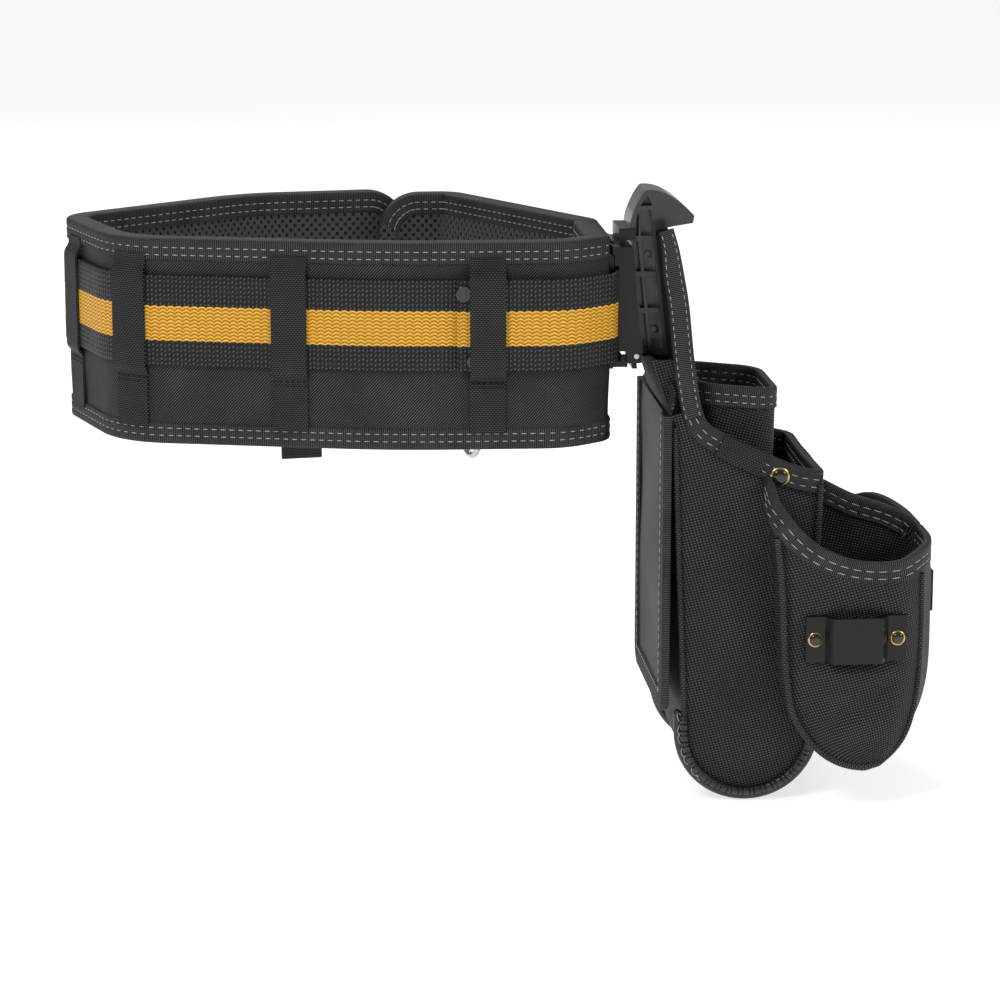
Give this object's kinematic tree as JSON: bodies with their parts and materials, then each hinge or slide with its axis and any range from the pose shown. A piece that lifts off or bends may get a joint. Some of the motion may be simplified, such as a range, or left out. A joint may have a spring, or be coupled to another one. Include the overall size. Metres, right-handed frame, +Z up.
{
  "type": "tool belt",
  "caption": "Padded carpenter's waist belt with webbing, bound edges and a tool pouch that plugs into a tilting hub at the hip.",
  "frame": {"origin": "middle of the waist opening, at half the height of the pad", "axes": "+Z up along the wearer's waist, +X towards the pouch on the wearer's right hip, +Y towards the closure in front"},
  "size_m": [0.4991, 0.2735, 0.3485],
  "materials": {
    "ballistic_fabric": "black ballistic weave with a faint twill sheen",
    "pad_foam": "closed-cell foam, hidden",
    "spacer_mesh": "black open spacer mesh",
    "binding_tape": "black ribbed grosgrain with pale stitching",
    "belt_webbing": "coarse black webbing with an amber stripe",
    "loop_tape": "black ribbed tape",
    "hub_plastic": "fine matte moulding",
    "latch_plastic": "polished black",
    "hanger_plastic": "charcoal moulded nylon",
    "pouch_fabric": "black ballistic weave",
    "panel_fabric": "smooth grey coated cloth",
    "bumper_rubber": "black segmented rubber",
    "clip_plastic": "black powder coat",
    "dark_rivet": "glossy black cap",
    "brass_rivet": "black cap on a brass rim",
    "steel": "plain bright steel"
  },
  "bodies": {
    "belt": {"pad_shell": "ballistic_fabric", "pad_core": "pad_foam", "pad_lining": "spacer_mesh", "top_binding": "binding_tape", "bottom_binding": "binding_tape", "webbing_right": "belt_webbing", "webbing_left": "belt_webbing", "webbing_rivets": "dark_rivet", "loop_front_right": "loop_tape", "loop_front_middle": "loop_tape", "loop_front_left": "loop_tape", "loop_left_side": "loop_tape", "loop_far_right": "loop_tape", "buckle_base": "hub_plastic", "buckle_stud": "steel", "ring_tab": "loop_tape", "hub_back_plate": "hub_plastic", "hub_pins": "steel"},
    "belt_end": {"end_pad_shell": "ballistic_fabric", "end_pad_core": "pad_foam", "end_pad_lining": "spacer_mesh", "end_top_binding": "binding_tape", "end_bottom_binding": "binding_tape", "end_webbing": "belt_webbing", "loop_end_left": "loop_tape", "loop_end_right": "loop_tape", "buckle_plate": "steel", "hanging_strap": "loop_tape"},
    "tool_ring": {"tool_ring": "steel"},
    "hub_face": {"hub_face": "hub_plastic", "latch_pin": "steel"},
    "hub_latch": {"hub_latch": "latch_plastic"},
    "pouch": {"hanger_plate": "hanger_plastic", "hanger_tongue": "hanger_plastic", "hanger_rivets": "dark_rivet", "back_panel": "panel_fabric", "wing_binding_far": "binding_tape", "wing_binding_near": "binding_tape", "main_pocket": "pouch_fabric", "main_rim_binding": "binding_tape", "main_piping_far": "binding_tape", "main_piping_near": "binding_tape", "bumper_far": "bumper_rubber", "bumper_near": "bumper_rubber", "inner_sleeve": "pouch_fabric", "sleeve_rim_binding": "binding_tape", "front_pocket_near": "pouch_fabric", "front_pocket_far": "pouch_fabric", "front_rim_near": "binding_tape", "front_rim_far": "binding_tape", "front_piping_near": "binding_tape", "front_piping_far": "binding_tape", "tape_clip": "clip_plastic", "tape_clip_rivets": "brass_rivet", "rim_snaps": "brass_rivet", "side_tab": "loop_tape", "flap_strip": "loop_tape"},
    "leg_flap": {"leg_flap": "panel_fabric", "leg_flap_binding": "binding_tape"}
  },
  "joints": [
    {"name": "belt_open", "type": "hinge", "parent": "belt", "child": "belt_end", "pos_m": [-0.15819, 0.01549, 0], "axis": [0, 0, 1], "range_deg": [0, 60]},
    {"name": "ring_swing", "type": "hinge", "parent": "belt", "child": "tool_ring", "pos_m": [0.08602, 0.09121, -0.064], "axis": [0.5064, -0.8623, 0], "range_deg": [-60, 60]},
    {"name": "hub_tilt", "type": "hinge", "parent": "belt", "child": "hub_face", "pos_m": [0.1665, -0.06, -0.012], "axis": [0, 1, 0], "range_deg": [0, 20]},
    {"name": "latch_press", "type": "hinge", "parent": "hub_face", "child": "hub_latch", "pos_m": [0.154, -0.06, 0.0488], "axis": [0, 1, 0], "range_deg": [0, 18], "stiffness_Nm_per_rad": 0.02, "springref_deg": -5.73},
    {"name": "pouch_lift", "type": "slide", "parent": "hub_face", "child": "pouch", "axis": [-0.1044, 0, 0.9945], "range_m": [0, 0.075]},
    {"name": "flap_swing", "type": "hinge", "parent": "pouch", "child": "leg_flap", "pos_m": [0.1803, -0.06, -0.038], "axis": [0, -1, 0], "range_deg": [-20, 0]}
  ]
}
